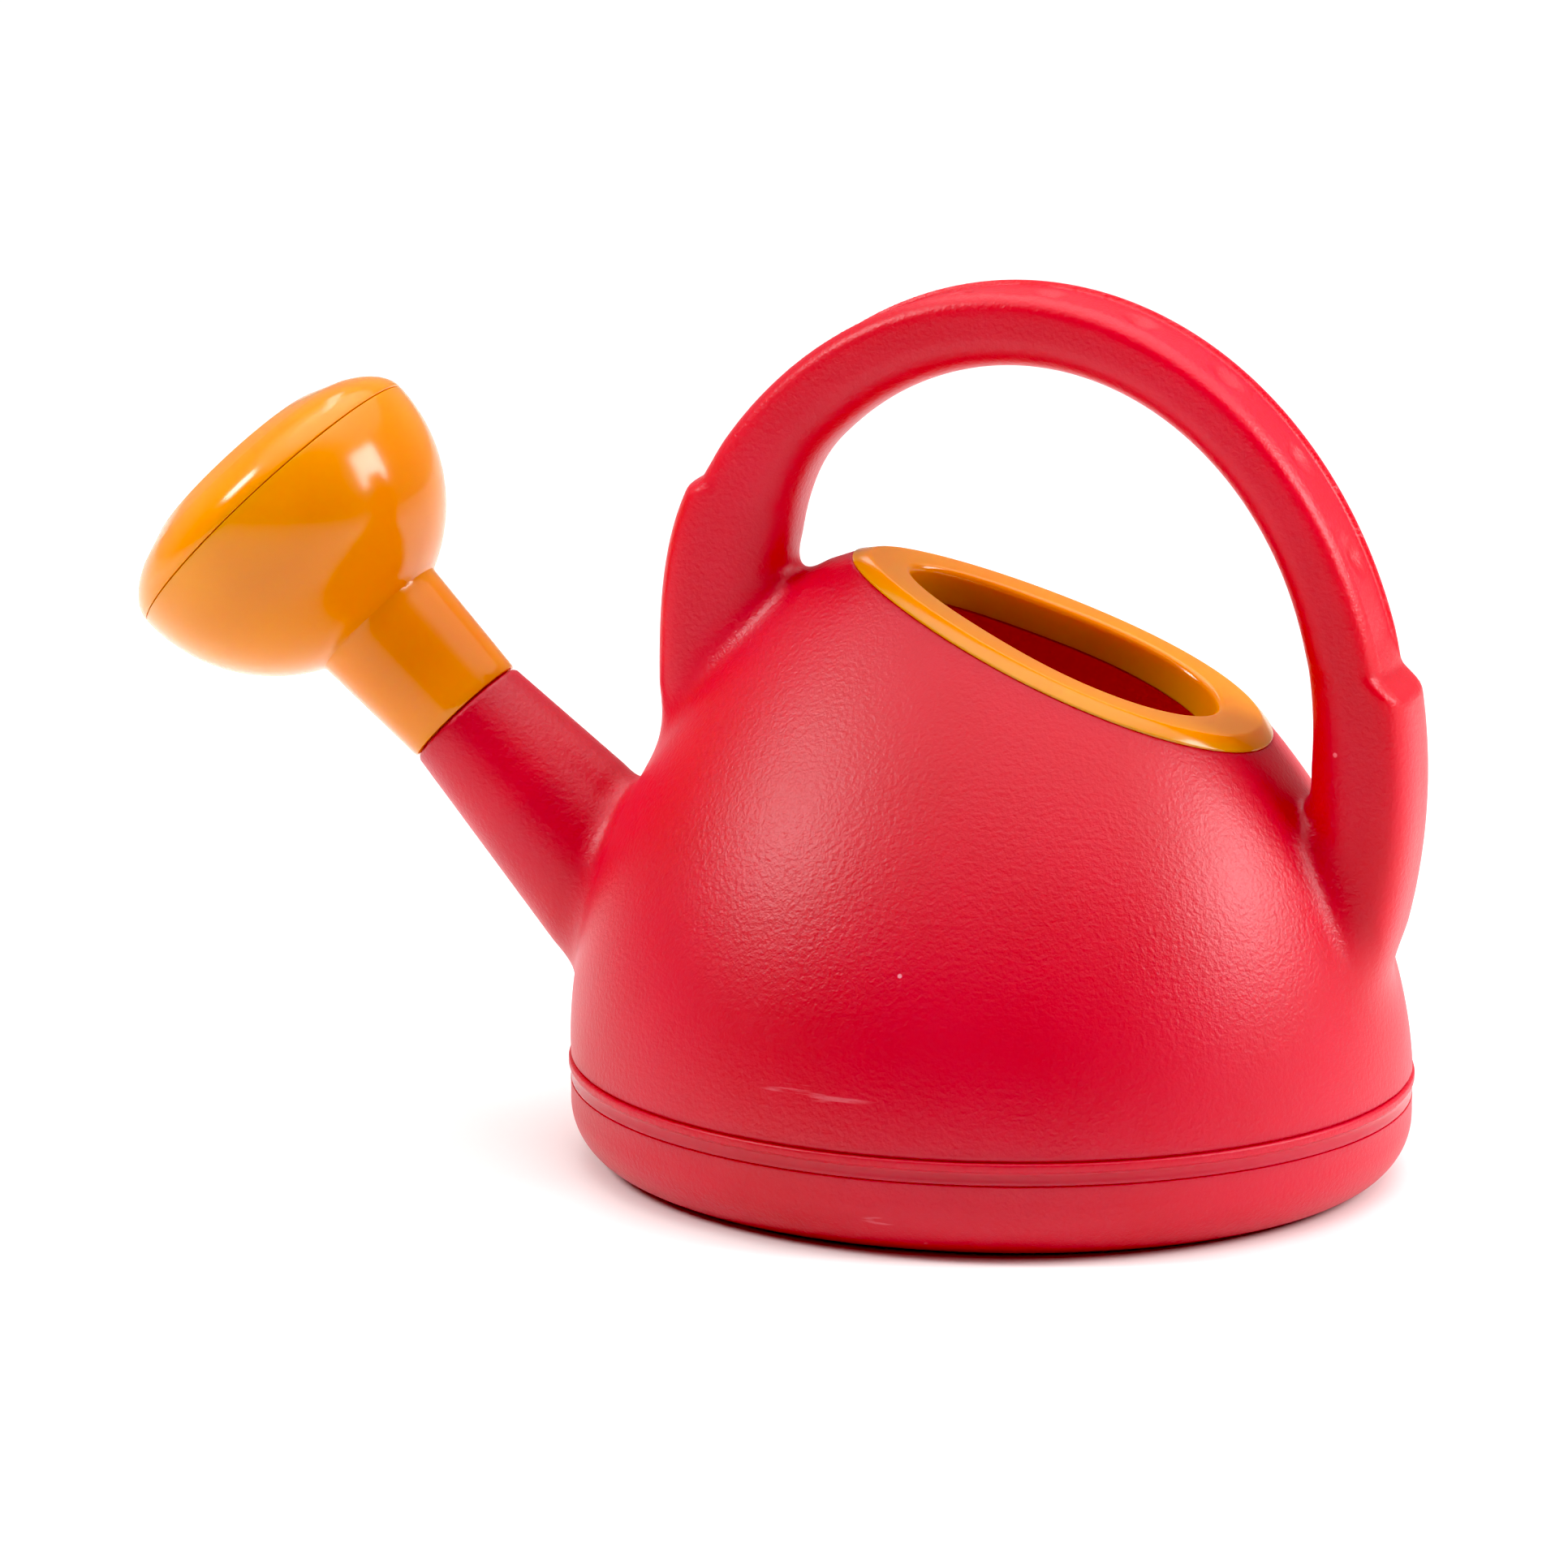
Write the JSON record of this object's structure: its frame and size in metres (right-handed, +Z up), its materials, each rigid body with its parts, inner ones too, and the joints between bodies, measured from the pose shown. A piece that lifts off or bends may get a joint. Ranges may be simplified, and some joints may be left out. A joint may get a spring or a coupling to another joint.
{
  "type": "watering can",
  "caption": "Small watering can: oval domed vessel with a filler opening, an arched handle over the top, and a slanted spout carrying a round pull-off rose.",
  "frame": {"origin": "centre of the flat underside, on the surface that the can stands on", "axes": "+Z up, +X along the vessel's length towards the handle's back leg, the spout points to -X and up, +Y across"},
  "size_m": [0.2561, 0.1492, 0.17],
  "materials": {
    "red_shell": "satin, fine orange-peel texture",
    "red_pan": "satin",
    "red_handle": "satin",
    "red_spout": "satin",
    "orange_ring": "gloss",
    "orange_bulb": "gloss",
    "orange_face": "gloss"
  },
  "bodies": {
    "can": {"vessel_shell": "red_shell", "base_pan": "red_pan", "handle": "red_handle", "spout": "red_spout", "filler_ring": "orange_ring"},
    "rose": {"rose_bulb": "orange_bulb", "rose_face": "orange_face"}
  },
  "joints": [
    {"name": "rose_pull", "type": "slide", "parent": "can", "child": "rose", "axis": [-0.7193, 0, 0.6947], "range_m": [0, 0.04]}
  ]
}
